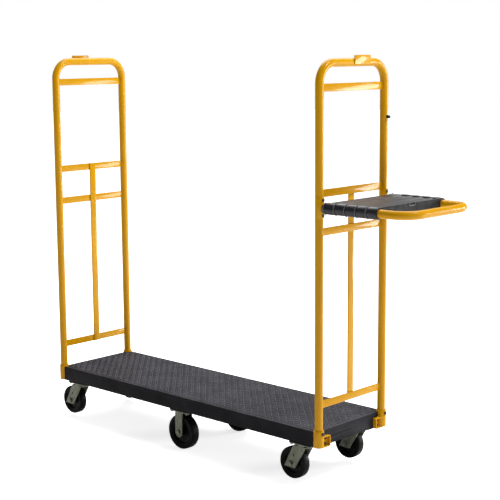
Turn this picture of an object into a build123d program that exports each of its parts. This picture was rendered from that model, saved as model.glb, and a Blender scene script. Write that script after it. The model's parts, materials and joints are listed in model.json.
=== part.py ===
from build123d import *
import math
import os

# U-boat platform cart with a folding shelf, in millimetres.
# +Z is up, +X runs along the deck towards the end that carries the shelf, +Y runs to the back.
# Pieces are drawn about the deck's centre, then moved so that the origin is the middle of the
# cart's box at floor level.

# ---- deck -----------------------------------------------------------------------------------
deck_length = 1524.0
deck_width = 409.0
deck_thickness = 60.0
deck_skin = 8.0             # top plate of the moulding
deck_wall = 7.0             # skirt round the edge
deck_rib = 5.0              # stiffening ribs under the top plate
deck_rib_bays = 8           # bays along the deck between cross ribs
deck_edge_round = 3.0
pad_drop = 5.0              # caster pads stand below the skirt by this much
pad_bevel = 4.0
corner_pad_length = 178.0
middle_pad_length = 126.0
pad_width = 112.0

# ---- casters --------------------------------------------------------------------------------
caster_y = 168.0            # caster centre lines from the deck's centre line
corner_caster_x = 671.0     # swivel axes from the deck's centre
corner_wheel_diameter = 127.0
corner_wheel_width = 36.0
corner_trail = 50.0         # axle behind the swivel axis
corner_lift = 15.0          # the corner wheels hang this far above the middle wheels' floor
middle_wheel_diameter = 148.0
middle_wheel_width = 42.0
middle_caster_height = 172.0   # floor to skirt
plate_length = 112.0
plate_width = 66.0
plate_thickness = 4.0
plate_bolt_spacing_x = 90.0
plate_bolt_spacing_y = 46.0
plate_bolt_radius = 4.0
plate_bolt_head = 13.0      # across flats
plate_bolt_head_height = 5.5
plate_bolt_reach = 20.0     # above the deck's skirt
plate_bolt_room = 4.0        # hole past the bolt's tip
plate_corner = 8.0
race_radius = 31.0
race_depth = 5.0
bearing_outer_radius = 28.0
bearing_inner_radius = 22.0
bearing_depth = 2.4
kingpin_radius = 6.0
kingpin_nut = 18.0          # across flats
kingpin_nut_height = 6.0
kingpin_tail = 7.0          # pin's end below the crown
kingpin_head_radius = 10.0
kingpin_head_low = 0.5      # head above the pad's face
kingpin_head_high = 4.0
kingpin_recess_radius = 12.0
kingpin_recess_depth = 5.0
crown_radius = 36.0
crown_thickness = 5.0
fork_thickness = 4.0
fork_side_gap = 4.0         # wheel side to fork leg
leg_width = 54.0            # corner leg, measured along the cart
leg_top_offset = 8.0        # middle of the leg's top end, behind the swivel axis
leg_foot_below_axle = 17.0
leg_foot_offset = 4.0       # middle of the foot ahead of the leg's own rake
leg_foot_slope = 2.0
leg_shoulder = 8.0          # straight front edge below the crown
fork_hole_radius = 3.2
fork_hole_slant = 1.5
fork_hole_back = 5.0
middle_leg_width = 41.0
middle_fork_thickness = 5.0
axle_radius = 5.0
axle_head = 17.0            # across flats, of head and nut
axle_head_height = 6.4
axle_nut_height = 8.0
axle_tail = 2.0             # thread past the nut
bush_wall = 3.5
boss_wall = 7.0             # round the bush
boss_draft = 2.0
corner_rim_radius = 45.7    # inside of the tyre
corner_rim_half_width = 15.1
corner_web_half = 7.2
corner_tyre_round = 5.8
middle_rim_radius = 53.3
middle_rim_half_width = 17.6
middle_web_half = 8.4
middle_tyre_round = 6.7
rim_flange = 5.0
rim_draft = 4.0
running_gap = 0.06          # radial, shaft in bore
side_play = 0.4             # between a turning part and its neighbour, along the axis
seat_gap = 0.1              # fixed pieces that seat on each other

# ---- end frames -----------------------------------------------------------------------------
tube_diameter = 31.75
tube_wall = 2.0
post_spacing = 384.0        # between the two posts' centre lines
post_inset = 0.0            # post centre line inside the deck's end
frame_height = 1377.0       # deck top to the top tube's centre line
frame_bend = 75.0
bar_height = 29.0
bar_thickness = 4.0
top_bar_drop = 89.5         # bar centre line below the top tube's
upper_bar_height = 902.5    # bar centre lines above the deck's top
middle_bar_height = 759.0
bottom_bar_height = 103.0
strut_width = 32.0
strut_thickness = 5.0
tab_width = 93.0
tab_height = 33.0
tab_thickness = 3.0
tab_offset = 36.0           # tab centre beside the frame's middle, to the right seen from outside
tab_rise = 11.0             # above the top tube
tab_corner = 4.0

# ---- sockets --------------------------------------------------------------------------------
socket_wall = 4.0
socket_gap = 0.3            # radial, post in socket
socket_rise = 6.0           # above the deck's top
socket_floor = 3.0
lug_width = 31.0
lug_height = 43.0
lug_depth = 16.0
lug_thickness = 3.0
lug_top_drop = 19.0         # lug top below the deck's top
lug_corner = 5.0
lug_inner_corner = 2.5
lug_backing = 14.0          # solid block in the deck's end behind a lug
socket_bolt_radius = 3.0
socket_bolt_reach = 12.0    # into the deck's end
socket_head_radius = 6.0
socket_head_height = 4.0
lock_screw_radius = 4.0
lock_head_radius = 6.5
lock_screw_drop = 6.0       # below the deck's top
lock_head_height = 4.0

# ---- folding shelf --------------------------------------------------------------------------
shelf_height = 852.0        # pivot and tube centre line above the deck's top
shelf_projection = 403.0    # post centre line to the loop's outer tube
shelf_bend = 75.0
pivot_reach = 44.5          # pivot in front of the post centre line
shelf_setback = 16.0        # tube ends and tray start behind the pivot
tray_length = 250.0
tray_shell = 5.6            # wall of the half-round wraps round the side tubes
tray_panel_drop = 3.5       # panel below the rim
tray_panel_thickness = 4.5
tray_rim_width = 16.0
tray_apron_depth = 34.0
tray_apron_thickness = 4.0
tray_ribs = 5
tray_rib_start = 8.0        # first rib from the tray's near end
tray_rib_pitch = 48.5
tray_rib_height = 0.9
tray_rib_width = 3.0
tray_lip_slope_x = 17.0     # slope of the near end's top edge, per tray_lip_slope_z of height
tray_lip_slope_z = 18.0
notch_length = 30.0
notch_width = 10.0
notch_depth = 4.0
bracket_wall = 3.0
bracket_height = 76.0
bracket_wrap = 75.0         # degrees each way round the post
bracket_bolt_offset = 29.0  # above and below the pivot
bracket_bolt_radius = 3.0
bracket_head_radius = 6.0
bracket_head_height = 2.6
bracket_bolt_reach = 6.0    # into the post's bore
tongue_thickness = 8.0
tongue_top = 11.0
pivot_pin_radius = 4.0
slot_play = 0.8
bumper_drop = 209.0         # below the top tube's centre line
bumper_radius = 6.0
bumper_round = 1.5

# ---- derived --------------------------------------------------------------------------------
tube_radius = tube_diameter / 2
bore_radius = tube_radius - tube_wall
deck_bottom = middle_caster_height
deck_top = deck_bottom + deck_thickness
end_x = deck_length / 2
post_x = end_x - post_inset
post_y = post_spacing / 2
socket_bore = tube_radius + socket_gap
socket_radius = socket_bore + socket_wall
pad_bottom = deck_bottom - pad_drop
post_foot = deck_bottom + socket_floor + seat_gap
pivot_x = post_x + pivot_reach
pivot_z = deck_top + shelf_height
shelf_tip = post_x + shelf_projection + tube_radius
plain_tip = post_x + socket_radius + lock_head_height
shift_x = -(shelf_tip - plain_tip) / 2
top_centre_z = deck_top + frame_height
top_bar_height = frame_height - top_bar_drop
bracket_radius = tube_radius + seat_gap + bracket_wall
wrap_radius = tube_radius + tray_shell
tray_start = pivot_x - shelf_setback
tray_end = tray_start + tray_length
tray_top = pivot_z + wrap_radius
plate_low = pad_bottom - seat_gap - plate_thickness
race_low = plate_low - race_depth
bearing_low = race_low - seat_gap - bearing_depth
crown_top = bearing_low - seat_gap
crown_low = crown_top - crown_thickness
corner_axle_z = corner_lift + corner_wheel_diameter / 2
middle_axle_z = middle_wheel_diameter / 2
corner_fork_half = corner_wheel_width / 2 + fork_side_gap
middle_fork_half = middle_wheel_width / 2 + fork_side_gap
bush_radius = axle_radius + bush_wall


def bar(x0, x1, y0, y1, z0, z1):
    """A block between two opposite corners, given in either order."""
    size = Box(abs(x1 - x0), abs(y1 - y0), abs(z1 - z0))
    return Pos((x0 + x1) / 2, (y0 + y1) / 2, (z0 + z1) / 2) * size


def rod_x(radius, x0, x1, y, z):
    """A round rod along X between two ends, given in either order."""
    return Pos((x0 + x1) / 2, y, z) * Rot(0, 90, 0) * Cylinder(radius, abs(x1 - x0))


def rod_y(radius, y0, y1, x, z):
    """A round rod along Y between two ends, given in either order."""
    return Pos(x, (y0 + y1) / 2, z) * Rot(90, 0, 0) * Cylinder(radius, abs(y1 - y0))


def rod_z(radius, z0, z1, x, y):
    """A round rod along Z."""
    return Pos(x, y, (z0 + z1) / 2) * Cylinder(radius, z1 - z0)


def hex_z(across_flats, z0, z1, x, y):
    """A hexagonal head or nut along Z."""
    head = extrude(RegularPolygon(across_flats / math.sqrt(3), 6), z1 - z0)
    return Pos(x, y, z0) * head


def hex_y(across_flats, y0, y1, x, z):
    """A hexagonal head or nut along Y between two ends, given in either order."""
    head = extrude(RegularPolygon(across_flats / math.sqrt(3), 6), abs(y1 - y0))
    return Pos(x, max(y0, y1), z) * Rot(90, 0, 0) * head


def turned_y(points, x, y, z):
    """A profile of (radius, distance) points, turned about a Y axis through x, y, z."""
    outline = Face(Wire(Polyline(*[(r, 0, d) for r, d in points], close=True).edges()))
    return Pos(x, y, z) * Rot(-90, 0, 0) * revolve(outline, Axis.Z)


def tube(points, bend, outer, inner):
    """A bent round tube along straight runs joined by arcs of one radius."""
    path = Wire(FilletPolyline(*points, radius=bend).edges())
    start = Plane(origin=path @ 0, z_dir=path % 0)
    skin = sweep(start * Circle(outer), path=path)
    core = sweep(start * Circle(inner), path=path)
    return skin - core


nodes = {}


def keep(name, shape):
    """Hold one sub-part under its node name."""
    nodes[name] = shape


# ---- deck -----------------------------------------------------------------------------------
def caster_pad(x, side, length):
    """A solid block in the deck that carries one caster plate, with a bevelled foot."""
    inner = side * (caster_y - pad_width / 2)
    outer = side * (deck_width / 2 - deck_wall / 2)
    body = bar(x - length / 2, x + length / 2, inner, outer, deck_bottom, deck_top - deck_skin / 2)
    foot_edge = side * (deck_width / 2 - deck_wall)
    low = bar(x - length / 2, x + length / 2, inner, foot_edge, pad_bottom, deck_bottom + 1)
    low = chamfer(low.edges().group_by(Axis.Z)[0], pad_bevel)
    return body + low


def make_deck():
    """The moulded deck: top plate, skirt, ribs, caster pads and corner recesses for the sockets."""
    half_w = deck_width / 2
    shell = bar(-end_x, end_x, -half_w, half_w, deck_bottom, deck_top)
    shell = fillet(shell.edges().group_by(Axis.Z)[-1], deck_edge_round)
    hollow = bar(-end_x + deck_wall, end_x - deck_wall, -half_w + deck_wall, half_w - deck_wall,
                 deck_bottom - 1, deck_top - deck_skin)
    shell -= hollow
    for i in range(1, deck_rib_bays):
        x = -end_x + i * deck_length / deck_rib_bays
        shell += bar(x - deck_rib / 2, x + deck_rib / 2, -half_w + 1, half_w - 1,
                     deck_bottom + deck_rib, deck_top - deck_skin / 2)
    for side in (-1, 1):
        for x in (-corner_caster_x, corner_caster_x):
            shell += caster_pad(x, side, corner_pad_length)
        shell += caster_pad(0, side, middle_pad_length)
    box = bar(-end_x, end_x, -half_w, half_w, deck_bottom, deck_top)
    for end in (-1, 1):
        for side in (-1, 1):
            boss = rod_z(socket_radius + socket_gap + deck_wall, deck_bottom, deck_top - 1,
                         end * post_x, side * post_y)
            shell += boss & box
            shell += bar(end * (end_x - lug_backing), end * (end_x - 1),
                         side * (post_y - socket_radius - lug_width), side * post_y,
                         deck_bottom, deck_top - 1)
    for x in (-post_x, post_x):
        for y in (-post_y, post_y):
            shell -= rod_z(socket_radius + socket_gap, deck_bottom - 1, deck_top + 1, x, y)
    for x, y in plate_bolts():
        shell -= rod_z(plate_bolt_radius + seat_gap, pad_bottom - 1,
                       deck_bottom + plate_bolt_reach + plate_bolt_room, x, y)
    for x, y, z in socket_bolts():
        inner = x - math.copysign(socket_bolt_reach + 1, x)
        shell -= rod_x(socket_bolt_radius + seat_gap, x, inner, y, z)
    for side in (-1, 1):
        for x in (-corner_caster_x, corner_caster_x):
            shell -= rod_z(kingpin_recess_radius, pad_bottom - 1, pad_bottom + kingpin_recess_depth,
                           x, side * caster_y)
    return shell


# ---- casters --------------------------------------------------------------------------------
def plate_bolts():
    """Places of the bolts that hold the six caster plates."""
    places = []
    for cx in (-corner_caster_x, 0, corner_caster_x):
        for side in (-1, 1):
            for dx in (-plate_bolt_spacing_x / 2, plate_bolt_spacing_x / 2):
                for dy in (-plate_bolt_spacing_y / 2, plate_bolt_spacing_y / 2):
                    places.append((cx + dx, side * caster_y + dy))
    return places


def bolt_plate(x, y):
    """One flat caster plate with its four bolt holes, under its pad."""
    top = pad_bottom - seat_gap
    low = top - plate_thickness
    plate = bar(x - plate_length / 2, x + plate_length / 2, y - plate_width / 2, y + plate_width / 2,
                low, top)
    plate = fillet(plate.edges().filter_by(Axis.Z), plate_corner)
    for dx in (-plate_bolt_spacing_x / 2, plate_bolt_spacing_x / 2):
        for dy in (-plate_bolt_spacing_y / 2, plate_bolt_spacing_y / 2):
            plate -= rod_z(plate_bolt_radius + seat_gap, low - 1, top + 1, x + dx, y + dy)
    return plate


def plate_bolt(x, y):
    """A hex bolt up through a caster plate into its pad."""
    seat = plate_low - seat_gap
    head = hex_z(plate_bolt_head, seat - plate_bolt_head_height, seat, x, y)
    return head + rod_z(plate_bolt_radius, seat - 1, deck_bottom + plate_bolt_reach, x, y)


def swivel_plate(x, y):
    """The fixed half of a swivel: the bolted plate with its round race."""
    plate = bolt_plate(x, y)
    plate += rod_z(race_radius, race_low, plate_low, x, y)
    return plate - rod_z(kingpin_radius + seat_gap, race_low - 1, pad_bottom, x, y)


def bearing_ring(x, y):
    """The ball ring between the race and the fork's crown."""
    ring = rod_z(bearing_outer_radius, bearing_low, race_low - seat_gap, x, y)
    return ring - rod_z(bearing_inner_radius, bearing_low - 1, race_low, x, y)


def kingpin(x, y):
    """The riveted pin on the swivel axis, with its nut under the crown."""
    nut_top = crown_low - side_play
    pin = rod_z(kingpin_radius, crown_low - kingpin_tail, pad_bottom + kingpin_head_high, x, y)
    pin += hex_z(kingpin_nut, nut_top - kingpin_nut_height, nut_top, x, y)
    return pin + rod_z(kingpin_head_radius, pad_bottom + kingpin_head_low,
                       pad_bottom + kingpin_head_high, x, y)


def corner_fork(x, y):
    """A swivel fork: a round crown and two raked legs with square feet."""
    axle_x = x - corner_trail
    foot_z = corner_axle_z - leg_foot_below_axle
    rake = (leg_top_offset - corner_trail) / (crown_low - corner_axle_z)
    foot_x = axle_x + leg_foot_offset + rake * leg_foot_below_axle
    top_x = x - leg_top_offset
    outer = corner_fork_half + fork_thickness
    crown = rod_z(crown_radius, crown_low, crown_top, x, y)
    crown &= bar(x - crown_radius, x + crown_radius, y - outer, y + outer, crown_low, crown_top)
    crown += bar(top_x - leg_width / 2, top_x + leg_width / 2, y - outer, y + outer,
                 crown_low, crown_top)
    legs = None
    for leg_y in (y + outer, y - corner_fork_half):
        leg_outline = Polyline(
            (top_x - leg_width / 2, leg_y, crown_top),
            (top_x + leg_width / 2, leg_y, crown_top),
            (top_x + leg_width / 2, leg_y, crown_low - leg_shoulder),
            (foot_x + leg_width / 2, leg_y, foot_z),
            (foot_x - leg_width / 2, leg_y, foot_z + leg_foot_slope),
            close=True,
        )
        leg = extrude(Face(Wire(leg_outline.edges())), fork_thickness, dir=(0, -1, 0))
        legs = leg if legs is None else legs + leg
    fork = crown + legs
    hole_z = (corner_axle_z + crown_low) / 2
    hole_x = (axle_x + top_x) / 2 - fork_hole_back
    for dx in (-fork_hole_slant, fork_hole_slant):
        fork -= rod_y(fork_hole_radius, y - outer - 1, y + outer + 1, hole_x + dx, hole_z - dx)
    fork -= rod_y(axle_radius + running_gap, y - outer - 1, y + outer + 1, axle_x, corner_axle_z)
    return fork - rod_z(kingpin_radius + running_gap, crown_low - 1, crown_top + 1, x, y)


def middle_fork(y):
    """A fixed fork: the bolted plate with two straight round-ended legs."""
    fork = bolt_plate(0, y)
    outer = middle_fork_half + middle_fork_thickness
    for side in (-1, 1):
        y0 = y + side * middle_fork_half
        y1 = y + side * outer
        fork += bar(-middle_leg_width / 2, middle_leg_width / 2, y0, y1, middle_axle_z, plate_low + 1)
        fork += rod_y(middle_leg_width / 2, y0, y1, 0, middle_axle_z)
    return fork - rod_y(axle_radius + running_gap, y - outer - 1, y + outer + 1, 0, middle_axle_z)


def axle_set(x, y, z, half, leg, outward):
    """A hex axle bolt with its nut, and the bush that the wheel turns on between the legs."""
    reach = half + leg
    seat = reach + seat_gap
    tail = reach + axle_nut_height + axle_tail
    bolt = rod_y(axle_radius, y + outward * seat, y - outward * tail, x, z)
    bolt += hex_y(axle_head, y + outward * seat, y + outward * (reach + axle_head_height), x, z)
    nut = hex_y(axle_head, y - outward * seat, y - outward * (reach + axle_nut_height), x, z)
    nut -= rod_y(axle_radius + running_gap / 2, y - 2 * reach, y + 2 * reach, x, z)
    bush = rod_y(bush_radius, y - half + seat_gap, y + half - seat_gap, x, z)
    bush -= rod_y(axle_radius + running_gap / 2, y - half, y + half, x, z)
    return Compound(children=[bolt, nut, bush])


def wheel_hub(x, y, z, rim, rim_half, web, half):
    """The wheel's core: a boss that turns on the bush, a thin web and a rim for the tyre."""
    bore = bush_radius + running_gap
    boss = half - side_play
    side = [(bore, boss), (bore + boss_wall, boss), (bore + boss_wall + boss_draft, web),
            (rim - rim_flange - rim_draft, web), (rim - rim_flange, rim_half), (rim, rim_half)]
    return turned_y(side + [(r, -d) for r, d in reversed(side)], x, y, z)


def wheel_tyre(x, y, z, diameter, width, rim, shoulder):
    """The solid rubber tyre round the core, with rounded shoulders."""
    ring = rod_y(diameter / 2, y - width / 2, y + width / 2, x, z)
    ring = fillet(ring.edges(), shoulder)
    return ring - rod_y(rim + seat_gap / 2, y - width, y + width, x, z)


# ---- sockets --------------------------------------------------------------------------------
def socket_bolts():
    """Places of the bolts that fix each socket's lug to the deck's end, at the deck's face."""
    middle = deck_top - lug_top_drop - lug_height / 2
    places = []
    for x in (-end_x, end_x):
        for side in (-1, 1):
            y = side * (post_y - socket_radius - lug_width / 2 + lug_thickness)
            for dz in (-lug_height / 4, lug_height / 4):
                places.append((x, y, middle + dz))
    return places


def make_socket(end, side):
    """A round sleeve with a floor, and an open box lug welded on its inboard side."""
    x = end * post_x
    y = side * post_y
    sleeve = rod_z(socket_radius, deck_bottom, deck_top + socket_rise, x, y)
    face = end * (end_x + seat_gap)
    out = face + end * lug_depth
    far = side * (post_y - socket_radius - lug_width)
    top = deck_top - lug_top_drop
    lug = bar(face, out, y, far, top - lug_height, top)
    lug = fillet(lug.edges().filter_by(Axis.X), lug_corner)
    hollow = bar(face + end * lug_thickness, out + end, y, far + side * lug_thickness,
                 top - lug_height + lug_thickness, top - lug_thickness)
    hollow = fillet(hollow.edges().filter_by(Axis.X), lug_inner_corner)
    lug -= hollow
    socket = sleeve + lug
    socket -= rod_z(socket_bore, deck_bottom + socket_floor, deck_top + socket_rise + 1, x, y)
    screw_z = deck_top - lock_screw_drop
    tip = end * (post_x + socket_radius + 1)
    socket -= rod_x(lock_screw_radius + seat_gap, x, tip, y, screw_z)
    for bx, by, bz in socket_bolts():
        if bx * end > 0 and by * side > 0:
            socket -= rod_x(socket_bolt_radius + seat_gap, bx - end, bx + end * 2 * lug_thickness,
                            by, bz)
    return socket


def lock_screw(end, side):
    """The screw through a socket's outer wall, its tip just clear of the post."""
    y = side * post_y
    z = deck_top - lock_screw_drop
    tip = end * (post_x + socket_bore)
    wall = end * (post_x + socket_radius)
    head = wall + end * lock_head_height
    screw = rod_x(lock_screw_radius, tip, head, y, z)
    return screw + rod_x(lock_head_radius, wall, head, y, z)


def socket_bolt(x, y, z):
    """A round-headed bolt inside a lug, into the deck's end."""
    end = math.copysign(1, x)
    seat = x + end * (lug_thickness + 2 * seat_gap)
    bolt = rod_x(socket_bolt_radius, x - end * socket_bolt_reach, seat, y, z)
    return bolt + rod_x(socket_head_radius, seat, seat + end * socket_head_height, y, z)


# ---- end frames -----------------------------------------------------------------------------
def make_frame(end):
    """Bent tube, cross bars, strut and tab of one end frame, as separate pieces."""
    x = end * post_x
    loop = tube([(x, -post_y, post_foot), (x, -post_y, top_centre_z), (x, post_y, top_centre_z),
                 (x, post_y, post_foot)], frame_bend, tube_radius, bore_radius)
    if end > 0:
        for side in (-1, 1):
            for dz in (-bracket_bolt_offset, bracket_bolt_offset):
                loop -= rod_x(bracket_bolt_radius + seat_gap, x, x + 2 * tube_radius,
                              side * post_y, pivot_z + dz)
    half_t = bar_thickness / 2
    bars = []
    for height in (bottom_bar_height, middle_bar_height, upper_bar_height, top_bar_height):
        z = deck_top + height
        piece = bar(x - half_t, x + half_t, -post_y, post_y, z - bar_height / 2, z + bar_height / 2)
        for y in (-post_y, post_y):
            piece -= rod_z(tube_radius + seat_gap / 2, z - bar_height, z + bar_height, x, y)
        bars.append(piece)
    inner = x - end * (half_t + seat_gap / 2)
    back = inner - end * strut_thickness
    strut = bar(inner, back, -strut_width / 2, strut_width / 2,
                deck_top + bottom_bar_height - bar_height / 2,
                deck_top + upper_bar_height + bar_height / 2)
    tab_y = end * tab_offset
    tab_top = top_centre_z + tube_radius + tab_rise
    root = x + end * (tube_radius - 1)
    tip = root + end * (tab_thickness + 1)
    tab = bar(root, tip, tab_y - tab_width / 2, tab_y + tab_width / 2, tab_top - tab_height, tab_top)
    tab = fillet(tab.edges().filter_by(Axis.X), tab_corner)
    tab -= rod_y(tube_radius + seat_gap / 2, -post_y, post_y, x, top_centre_z)
    return loop, Compound(children=bars), strut, tab


# ---- folding shelf --------------------------------------------------------------------------
def shelf_loop():
    """The U-bent shelf tube, its two ends slotted on top for the bracket tongues."""
    far = post_x + shelf_projection
    loop = tube([(tray_start, -post_y, pivot_z), (far, -post_y, pivot_z), (far, post_y, pivot_z),
                 (tray_start, post_y, pivot_z)], shelf_bend, tube_radius, bore_radius)
    half = tongue_thickness / 2 + slot_play
    for y in (-post_y, post_y):
        loop -= bar(tray_start - 1, pivot_x + tongue_top + slot_play, y - half, y + half,
                    pivot_z, pivot_z + 2 * tube_radius)
        loop -= rod_y(pivot_pin_radius + running_gap, y - 2 * tube_radius, y + 2 * tube_radius,
                      pivot_x, pivot_z)
    return loop


def shelf_tray():
    """The moulded tray: half-round wraps over both side tubes, a sunk panel and an end apron."""
    body = None
    for side in (-1, 1):
        y = side * post_y
        wrap = rod_x(wrap_radius, tray_start, tray_end, y, pivot_z)
        for i in range(tray_ribs):
            x = tray_start + tray_rib_start + i * tray_rib_pitch
            wrap += rod_x(wrap_radius + tray_rib_height, x, x + tray_rib_width, y, pivot_z)
        wrap -= bar(tray_start, tray_end, 0, y, pivot_z - 2 * wrap_radius, pivot_z)
        wrap &= bar(tray_start, tray_end, 0, 2 * y, pivot_z - 2 * wrap_radius, tray_top)
        body = wrap if body is None else body + wrap
    panel_top = tray_top - tray_panel_drop
    body += bar(tray_start, tray_end, -post_y, post_y, panel_top - tray_panel_thickness, panel_top)
    rim = bar(tray_end - tray_rim_width, tray_end, -post_y, post_y,
              panel_top - tray_panel_thickness, tray_top)
    body += rim
    body += bar(tray_end - tray_apron_thickness, tray_end, -post_y, post_y,
                tray_top - tray_apron_depth, tray_top)
    for side in (-1, 1):
        y = side * post_y
        body -= rod_x(tube_radius + seat_gap, tray_start - 1, tray_end + 1, y, pivot_z)
        half = tongue_thickness / 2 + slot_play
        body -= bar(tray_start - 1, pivot_x + tongue_top + slot_play, y - half, y + half,
                    pivot_z, 2 * tray_top)
    half_slope = tray_lip_slope_z / 2
    top_cut = Polyline((tray_start - 1, -2 * post_y, tray_top + half_slope),
                       (tray_start - 1, -2 * post_y, tray_top - half_slope),
                       (tray_start + tray_lip_slope_x, -2 * post_y, tray_top + half_slope), close=True)
    body -= extrude(Face(Wire(top_cut.edges())), 4 * post_y, dir=(0, 1, 0))
    slot = SlotOverall(notch_length, notch_width)
    notch = Pos(tray_end - tray_rim_width / 2, 0, tray_top - notch_depth) * Rot(0, 0, 90) \
        * extrude(slot, notch_depth + 1)
    return body - notch


def hinge_bracket(side):
    """A saddle round the post's outer face with a tongue that enters the slotted shelf tube."""
    y = side * post_y
    low = pivot_z - bracket_height / 2
    high = pivot_z + bracket_height / 2
    saddle = rod_z(bracket_radius, low, high, post_x, y)
    saddle -= rod_z(tube_radius + seat_gap, low - 1, high + 1, post_x, y)
    cut_x = post_x + tube_radius * math.cos(math.radians(bracket_wrap))
    saddle -= bar(post_x - 2 * bracket_radius, cut_x, y - 2 * bracket_radius, y + 2 * bracket_radius,
                  low - 1, high + 1)
    half = tongue_thickness / 2
    tongue_low = math.sqrt(bore_radius ** 2 - half ** 2) - 3 * seat_gap
    root_x = post_x + bracket_radius - 1
    tongue = bar(root_x, pivot_x, y - half, y + half, pivot_z - tongue_low, pivot_z + tongue_top)
    nose = rod_y(tongue_top, y - half, y + half, pivot_x, pivot_z)
    lower_nose = rod_y(tongue_low, y - half, y + half, pivot_x, pivot_z)
    lower_nose &= bar(root_x, pivot_x + tongue_low, y - half, y + half, pivot_z - tongue_low, pivot_z)
    bracket = saddle + tongue + nose + lower_nose
    bracket -= rod_y(pivot_pin_radius + running_gap, y - tube_radius, y + tube_radius, pivot_x, pivot_z)
    for dz in (-bracket_bolt_offset, bracket_bolt_offset):
        bracket -= rod_x(bracket_bolt_radius + seat_gap, post_x, post_x + 2 * bracket_radius, y,
                         pivot_z + dz)
    return bracket


def pivot_pin(side):
    """The cross pin that joins a shelf leg to its bracket tongue, held in the tube's walls."""
    y = side * post_y
    reach = math.sqrt(tube_radius ** 2 - pivot_pin_radius ** 2) - 0.2
    return rod_y(pivot_pin_radius, y - reach, y + reach, pivot_x, pivot_z)


def bracket_bolt(side, dz):
    """A low-headed bolt through a bracket's saddle into the post."""
    y = side * post_y
    seat = post_x + bracket_radius
    z = pivot_z + dz
    head = rod_x(bracket_head_radius, seat - 1, seat + bracket_head_height, y, z)
    head -= rod_z(bracket_radius + seat_gap / 2, z - 2 * bracket_head_radius,
                  z + 2 * bracket_head_radius, post_x, y)
    shank = rod_x(bracket_bolt_radius, post_x + bore_radius - bracket_bolt_reach, seat + 1, y, z)
    return head + shank


def make_bumper():
    """The rubber stud on the back post that the folded shelf rests on."""
    z = top_centre_z - bumper_drop
    tip = pivot_x - tube_radius - 3 * seat_gap
    stud = rod_x(bumper_radius, post_x, tip, post_y, z)
    stud = fillet(stud.edges().group_by(Axis.X)[-1], bumper_round)
    return stud - rod_z(tube_radius + seat_gap / 2, z - 2 * bumper_radius, z + 2 * bumper_radius,
                        post_x, post_y)


# ---- assembly -------------------------------------------------------------------------------
keep("deck", make_deck())

ends = (("plain", -1), ("shelf", 1))
sides = (("front", -1), ("back", 1))
for end_name, end in ends:
    for side_name, side in sides:
        keep(f"{end_name}_end_{side_name}_socket", make_socket(end, side))
keep("socket_bolts", Compound(children=[socket_bolt(*place) for place in socket_bolts()]))
keep("socket_lock_screws",
     Compound(children=[lock_screw(end, side) for _, end in ends for _, side in sides]))

for end_name, end in ends:
    loop, bars, strut, tab = make_frame(end)
    keep(f"{end_name}_frame_tube", loop)
    keep(f"{end_name}_frame_crossbars", bars)
    keep(f"{end_name}_frame_strut", strut)
    keep(f"{end_name}_frame_tab", tab)

for end_name, end in ends:
    for side_name, side in sides:
        x = end * corner_caster_x
        y = side * caster_y
        axle_x = x - corner_trail
        name = f"{end_name}_{side_name}"
        keep(f"{name}_swivel_plate", swivel_plate(x, y))
        keep(f"{name}_fork", corner_fork(x, y))
        keep(f"{name}_axle", axle_set(axle_x, y, corner_axle_z, corner_fork_half, fork_thickness, side))
        keep(f"{name}_hub", wheel_hub(axle_x, y, corner_axle_z, corner_rim_radius,
                                      corner_rim_half_width, corner_web_half, corner_fork_half))
        keep(f"{name}_tyre", wheel_tyre(axle_x, y, corner_axle_z, corner_wheel_diameter,
                                        corner_wheel_width, corner_rim_radius, corner_tyre_round))
for side_name, side in sides:
    y = side * caster_y
    name = f"middle_{side_name}"
    keep(f"{name}_fork", middle_fork(y))
    keep(f"{name}_axle", axle_set(0, y, middle_axle_z, middle_fork_half, middle_fork_thickness, side))
    keep(f"{name}_hub", wheel_hub(0, y, middle_axle_z, middle_rim_radius, middle_rim_half_width,
                                  middle_web_half, middle_fork_half))
    keep(f"{name}_tyre", wheel_tyre(0, y, middle_axle_z, middle_wheel_diameter, middle_wheel_width,
                                    middle_rim_radius, middle_tyre_round))

corners = [(end * corner_caster_x, side * caster_y) for _, end in ends for _, side in sides]
keep("swivel_bearings", Compound(children=[bearing_ring(x, y) for x, y in corners]))
keep("kingpins", Compound(children=[kingpin(x, y) for x, y in corners]))


keep("caster_plate_bolts", Compound(children=[plate_bolt(x, y) for x, y in plate_bolts()]))

keep("shelf_tube", shelf_loop())
keep("shelf_tray", shelf_tray())
for side_name, side in sides:
    keep(f"{side_name}_hinge_bracket", hinge_bracket(side))
keep("shelf_pivot_pins", Compound(children=[pivot_pin(side) for _, side in sides]))
keep("hinge_bracket_bolts",
     Compound(children=[bracket_bolt(side, dz) for _, side in sides
                        for dz in (-bracket_bolt_offset, bracket_bolt_offset)]))
keep("shelf_bumper", make_bumper())

os.makedirs("parts", exist_ok=True)
for name, shape in nodes.items():
    export_step(Pos(shift_x, 0, 0) * shape, f"parts/{name}.step")
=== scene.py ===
import json
import math

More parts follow.
